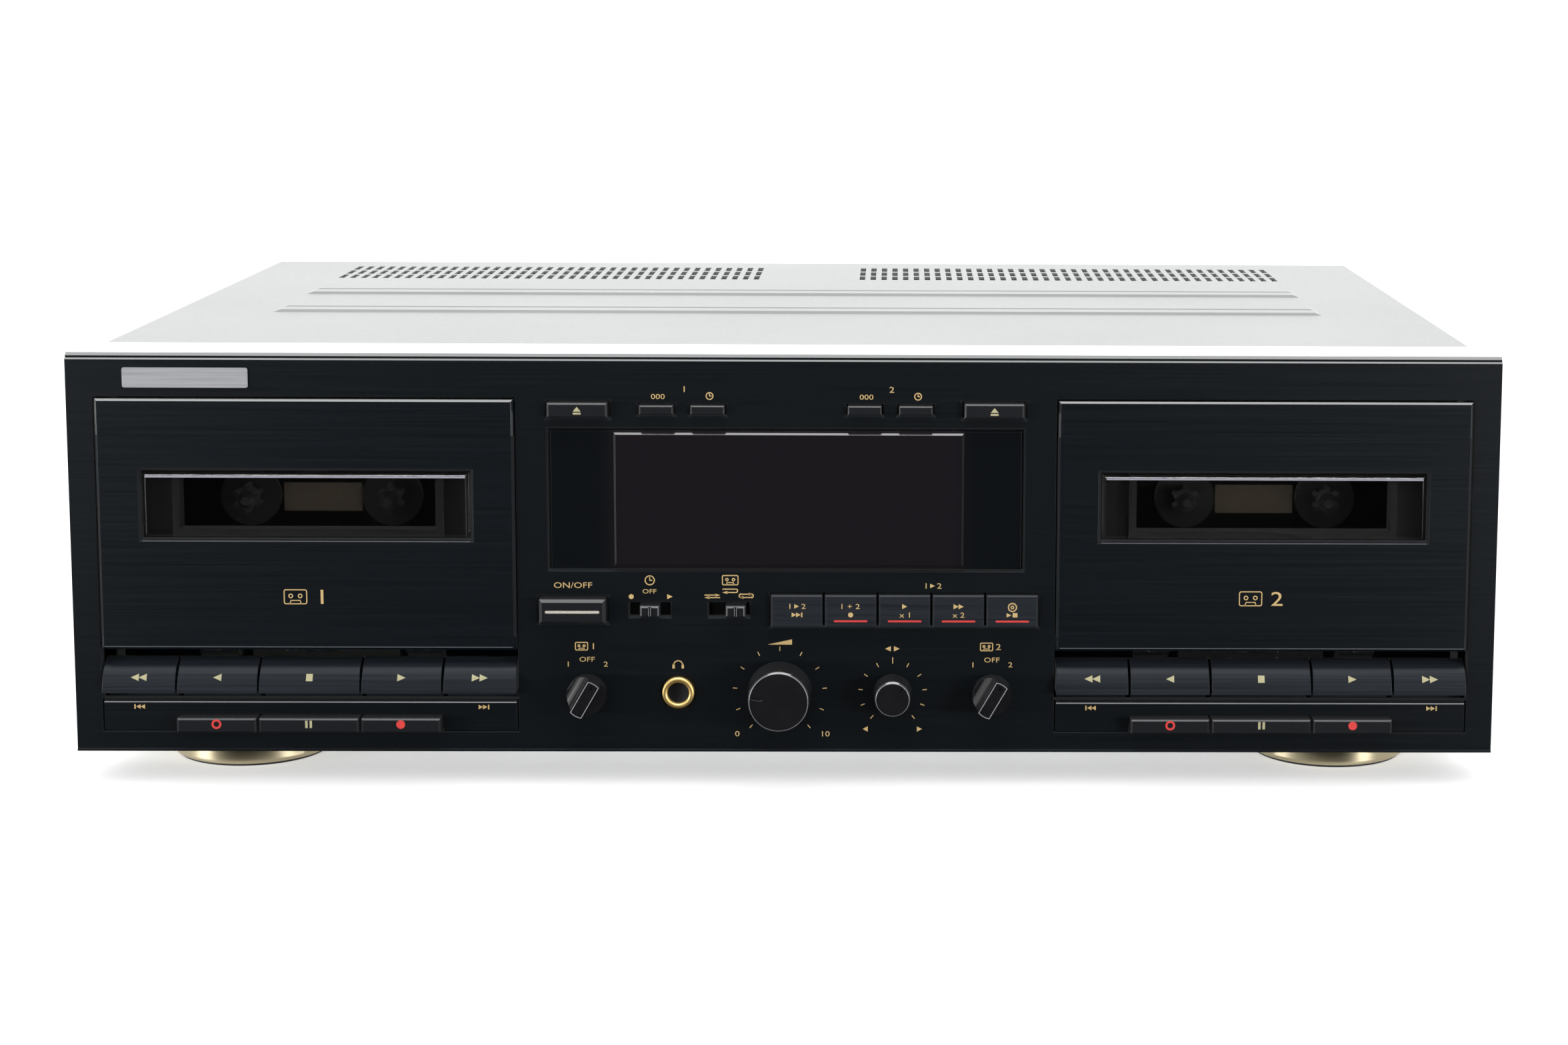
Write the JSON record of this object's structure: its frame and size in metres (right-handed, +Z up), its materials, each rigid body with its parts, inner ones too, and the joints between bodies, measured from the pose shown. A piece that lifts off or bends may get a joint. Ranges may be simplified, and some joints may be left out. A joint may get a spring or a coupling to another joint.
{
  "type": "double cassette deck",
  "caption": "Full-width hi-fi tape deck with paired hinged cassette doors, transport keys, display window, mode buttons, slide switches and rotary level and selector knobs on round feet.",
  "frame": {"origin": "on the surface that the feet stand on, in the middle of the overall width and depth", "axes": "+X to the right as seen from the front, +Y from the front panel to the rear, +Z up"},
  "size_m": [0.42, 0.3006, 0.129],
  "materials": {
    "panel_black": "fine horizontal brush, black anodised look",
    "cover_grey": "satin grey paint",
    "chassis_zinc": "zinc-plated sheet",
    "rear_black": "satin black paint",
    "smoked_pane": "smoked clear plastic, polished",
    "board_green": "solder-masked board",
    "core_steel": "laminated core with wound bobbin",
    "socket_black": "moulded socket body with plated shells",
    "jack_gold": "gold-plated ring",
    "foot_champagne": "spun champagne shell with rubber pad",
    "screw_black": "blackened steel",
    "frame_steel": "pressed steel, black passivated",
    "spindle_grey": "moulded dark grey",
    "head_steel": "pressed steel and polished head",
    "flywheel_brass": "turned brass",
    "door_black": "fine horizontal brush, black anodised look",
    "window_smoke": "clear smoked pane",
    "holder_black": "moulded black",
    "key_grey": "dark grey with a horizontal brush",
    "button_black": "fine satin black",
    "knob_black": "smooth black"
  },
  "bodies": {
    "cabinet": {"front_panel": "panel_black", "top_cover": "cover_grey", "chassis": "chassis_zinc", "rear_panel": "rear_black", "display_window": "smoked_pane", "circuit_boards": "board_green", "power_transformer": "core_steel", "rear_sockets": "socket_black", "phones_jack": "jack_gold", "feet": "foot_champagne", "screws": "screw_black", "mechanism_frames": "frame_steel"},
    "tray_1": {"door_1": "door_black", "door_window_1": "window_smoke", "cassette_holder_1": "holder_black"},
    "tray_2": {"door_2": "door_black", "door_window_2": "window_smoke", "cassette_holder_2": "holder_black"},
    "reel_spindle_1_left": {"reel_spindle_1_left": "spindle_grey"},
    "reel_spindle_1_right": {"reel_spindle_1_right": "spindle_grey"},
    "reel_spindle_2_left": {"reel_spindle_2_left": "spindle_grey"},
    "reel_spindle_2_right": {"reel_spindle_2_right": "spindle_grey"},
    "head_base_1": {"head_base_1": "head_steel"},
    "head_base_2": {"head_base_2": "head_steel"},
    "flywheel_1": {"flywheel_1": "flywheel_brass"},
    "flywheel_2": {"flywheel_2": "flywheel_brass"},
    "power_button": {"power_button": "button_black"},
    "eject_button_1": {"eject_button_1": "button_black"},
    "eject_button_2": {"eject_button_2": "button_black"},
    "reset_button_1": {"reset_button_1": "button_black"},
    "reset_button_2": {"reset_button_2": "button_black"},
    "time_button_1": {"time_button_1": "button_black"},
    "time_button_2": {"time_button_2": "button_black"},
    "rewind_key_1": {"rewind_key_1": "key_grey"},
    "reverse_key_1": {"reverse_key_1": "key_grey"},
    "stop_key_1": {"stop_key_1": "key_grey"},
    "play_key_1": {"play_key_1": "key_grey"},
    "forward_key_1": {"forward_key_1": "key_grey"},
    "rewind_key_2": {"rewind_key_2": "key_grey"},
    "reverse_key_2": {"reverse_key_2": "key_grey"},
    "stop_key_2": {"stop_key_2": "key_grey"},
    "play_key_2": {"play_key_2": "key_grey"},
    "forward_key_2": {"forward_key_2": "key_grey"},
    "rec_mute_key_1": {"rec_mute_key_1": "button_black"},
    "pause_key_1": {"pause_key_1": "button_black"},
    "record_key_1": {"record_key_1": "button_black"},
    "rec_mute_key_2": {"rec_mute_key_2": "button_black"},
    "pause_key_2": {"pause_key_2": "button_black"},
    "record_key_2": {"record_key_2": "button_black"},
    "mode_button_1": {"mode_button_1": "key_grey"},
    "mode_button_2": {"mode_button_2": "key_grey"},
    "mode_button_3": {"mode_button_3": "key_grey"},
    "mode_button_4": {"mode_button_4": "key_grey"},
    "mode_button_5": {"mode_button_5": "key_grey"},
    "timer_switch": {"timer_switch": "button_black"},
    "reverse_switch": {"reverse_switch": "button_black"},
    "nr_knob_1": {"nr_knob_1": "knob_black"},
    "nr_knob_2": {"nr_knob_2": "knob_black"},
    "rec_level_knob": {"rec_level_knob": "knob_black"},
    "rec_balance_knob": {"rec_balance_knob": "knob_black"}
  },
  "joints": [
    {"name": "door_1_swing", "type": "hinge", "parent": "cabinet", "child": "tray_1", "pos_m": [-0.1408, -0.13205, 0.0489], "axis": [1, 0, 0], "range_deg": [0, 30]},
    {"name": "reel_1_left_spin", "type": "hinge", "parent": "cabinet", "child": "reel_spindle_1_left", "pos_m": [-0.16205, -0.11155, 0.0827], "axis": [0, -1, 0], "continuous": true},
    {"name": "reel_1_right_spin", "type": "hinge", "parent": "cabinet", "child": "reel_spindle_1_right", "pos_m": [-0.11955, -0.11155, 0.0827], "axis": [0, -1, 0], "continuous": true},
    {"name": "head_1_lift", "type": "slide", "parent": "cabinet", "child": "head_base_1", "axis": [0, 0, 1], "range_m": [0, 0.006]},
    {"name": "flywheel_1_spin", "type": "hinge", "parent": "cabinet", "child": "flywheel_1", "pos_m": [-0.1098, -0.11155, 0.057], "axis": [0, -1, 0], "continuous": true},
    {"name": "door_2_swing", "type": "hinge", "parent": "cabinet", "child": "tray_2", "pos_m": [0.1408, -0.13205, 0.0489], "axis": [1, 0, 0], "range_deg": [0, 30]},
    {"name": "reel_2_left_spin", "type": "hinge", "parent": "cabinet", "child": "reel_spindle_2_left", "pos_m": [0.11955, -0.11155, 0.0827], "axis": [0, -1, 0], "continuous": true},
    {"name": "reel_2_right_spin", "type": "hinge", "parent": "cabinet", "child": "reel_spindle_2_right", "pos_m": [0.16205, -0.11155, 0.0827], "axis": [0, -1, 0], "continuous": true},
    {"name": "head_2_lift", "type": "slide", "parent": "cabinet", "child": "head_base_2", "axis": [0, 0, 1], "range_m": [0, 0.006]},
    {"name": "flywheel_2_spin", "type": "hinge", "parent": "cabinet", "child": "flywheel_2", "pos_m": [0.1718, -0.11155, 0.057], "axis": [0, -1, 0], "continuous": true},
    {"name": "power_button_press", "type": "slide", "parent": "cabinet", "child": "power_button", "axis": [0, 1, 0], "range_m": [0, 0.003], "stiffness_N_per_m": 300},
    {"name": "eject_button_1_press", "type": "slide", "parent": "cabinet", "child": "eject_button_1", "axis": [0, 1, 0], "range_m": [0, 0.002], "stiffness_N_per_m": 200},
    {"name": "eject_button_2_press", "type": "slide", "parent": "cabinet", "child": "eject_button_2", "axis": [0, 1, 0], "range_m": [0, 0.002], "stiffness_N_per_m": 200},
    {"name": "reset_button_1_press", "type": "slide", "parent": "cabinet", "child": "reset_button_1", "axis": [0, 1, 0], "range_m": [0, 0.001], "stiffness_N_per_m": 200},
    {"name": "reset_button_2_press", "type": "slide", "parent": "cabinet", "child": "reset_button_2", "axis": [0, 1, 0], "range_m": [0, 0.001], "stiffness_N_per_m": 200},
    {"name": "time_button_1_press", "type": "slide", "parent": "cabinet", "child": "time_button_1", "axis": [0, 1, 0], "range_m": [0, 0.001], "stiffness_N_per_m": 200},
    {"name": "time_button_2_press", "type": "slide", "parent": "cabinet", "child": "time_button_2", "axis": [0, 1, 0], "range_m": [0, 0.001], "stiffness_N_per_m": 200},
    {"name": "rewind_key_1_press", "type": "slide", "parent": "cabinet", "child": "rewind_key_1", "axis": [0, 1, 0], "range_m": [0, 0.0013], "stiffness_N_per_m": 200},
    {"name": "reverse_key_1_press", "type": "slide", "parent": "cabinet", "child": "reverse_key_1", "axis": [0, 1, 0], "range_m": [0, 0.0013], "stiffness_N_per_m": 200},
    {"name": "stop_key_1_press", "type": "slide", "parent": "cabinet", "child": "stop_key_1", "axis": [0, 1, 0], "range_m": [0, 0.0013], "stiffness_N_per_m": 200},
    {"name": "play_key_1_press", "type": "slide", "parent": "cabinet", "child": "play_key_1", "axis": [0, 1, 0], "range_m": [0, 0.0013], "stiffness_N_per_m": 200},
    {"name": "forward_key_1_press", "type": "slide", "parent": "cabinet", "child": "forward_key_1", "axis": [0, 1, 0], "range_m": [0, 0.0013], "stiffness_N_per_m": 200},
    {"name": "rewind_key_2_press", "type": "slide", "parent": "cabinet", "child": "rewind_key_2", "axis": [0, 1, 0], "range_m": [0, 0.0013], "stiffness_N_per_m": 200},
    {"name": "reverse_key_2_press", "type": "slide", "parent": "cabinet", "child": "reverse_key_2", "axis": [0, 1, 0], "range_m": [0, 0.0013], "stiffness_N_per_m": 200},
    {"name": "stop_key_2_press", "type": "slide", "parent": "cabinet", "child": "stop_key_2", "axis": [0, 1, 0], "range_m": [0, 0.0013], "stiffness_N_per_m": 200},
    {"name": "play_key_2_press", "type": "slide", "parent": "cabinet", "child": "play_key_2", "axis": [0, 1, 0], "range_m": [0, 0.0013], "stiffness_N_per_m": 200},
    {"name": "forward_key_2_press", "type": "slide", "parent": "cabinet", "child": "forward_key_2", "axis": [0, 1, 0], "range_m": [0, 0.0013], "stiffness_N_per_m": 200},
    {"name": "rec_mute_key_1_press", "type": "slide", "parent": "cabinet", "child": "rec_mute_key_1", "axis": [0, 1, 0], "range_m": [0, 0.001], "stiffness_N_per_m": 200},
    {"name": "pause_key_1_press", "type": "slide", "parent": "cabinet", "child": "pause_key_1", "axis": [0, 1, 0], "range_m": [0, 0.001], "stiffness_N_per_m": 200},
    {"name": "record_key_1_press", "type": "slide", "parent": "cabinet", "child": "record_key_1", "axis": [0, 1, 0], "range_m": [0, 0.001], "stiffness_N_per_m": 200},
    {"name": "rec_mute_key_2_press", "type": "slide", "parent": "cabinet", "child": "rec_mute_key_2", "axis": [0, 1, 0], "range_m": [0, 0.001], "stiffness_N_per_m": 200},
    {"name": "pause_key_2_press", "type": "slide", "parent": "cabinet", "child": "pause_key_2", "axis": [0, 1, 0], "range_m": [0, 0.001], "stiffness_N_per_m": 200},
    {"name": "record_key_2_press", "type": "slide", "parent": "cabinet", "child": "record_key_2", "axis": [0, 1, 0], "range_m": [0, 0.001], "stiffness_N_per_m": 200},
    {"name": "mode_button_1_press", "type": "slide", "parent": "cabinet", "child": "mode_button_1", "axis": [0, 1, 0], "range_m": [0, 0.0013], "stiffness_N_per_m": 200},
    {"name": "mode_button_2_press", "type": "slide", "parent": "cabinet", "child": "mode_button_2", "axis": [0, 1, 0], "range_m": [0, 0.0013], "stiffness_N_per_m": 200},
    {"name": "mode_button_3_press", "type": "slide", "parent": "cabinet", "child": "mode_button_3", "axis": [0, 1, 0], "range_m": [0, 0.0013], "stiffness_N_per_m": 200},
    {"name": "mode_button_4_press", "type": "slide", "parent": "cabinet", "child": "mode_button_4", "axis": [0, 1, 0], "range_m": [0, 0.0013], "stiffness_N_per_m": 200},
    {"name": "mode_button_5_press", "type": "slide", "parent": "cabinet", "child": "mode_button_5", "axis": [0, 1, 0], "range_m": [0, 0.0013], "stiffness_N_per_m": 200},
    {"name": "timer_switch_slide", "type": "slide", "parent": "cabinet", "child": "timer_switch", "axis": [1, 0, 0], "range_m": [-0.002, 0.002]},
    {"name": "reverse_switch_slide", "type": "slide", "parent": "cabinet", "child": "reverse_switch", "axis": [1, 0, 0], "range_m": [-0.004, 0]},
    {"name": "nr_knob_1_turn", "type": "hinge", "parent": "cabinet", "child": "nr_knob_1", "pos_m": [-0.0589, -0.13855, 0.028], "axis": [0, -1, 0], "range_deg": [0, 60]},
    {"name": "nr_knob_2_turn", "type": "hinge", "parent": "cabinet", "child": "nr_knob_2", "pos_m": [0.0609, -0.13855, 0.028], "axis": [0, -1, 0], "range_deg": [0, 60]},
    {"name": "rec_level_knob_turn", "type": "hinge", "parent": "cabinet", "child": "rec_level_knob", "pos_m": [-0.002, -0.13855, 0.028], "axis": [0, -1, 0], "range_deg": [-222, 58]},
    {"name": "rec_balance_knob_turn", "type": "hinge", "parent": "cabinet", "child": "rec_balance_knob", "pos_m": [0.0314, -0.13855, 0.028], "axis": [0, -1, 0], "range_deg": [-97, 183]}
  ]
}
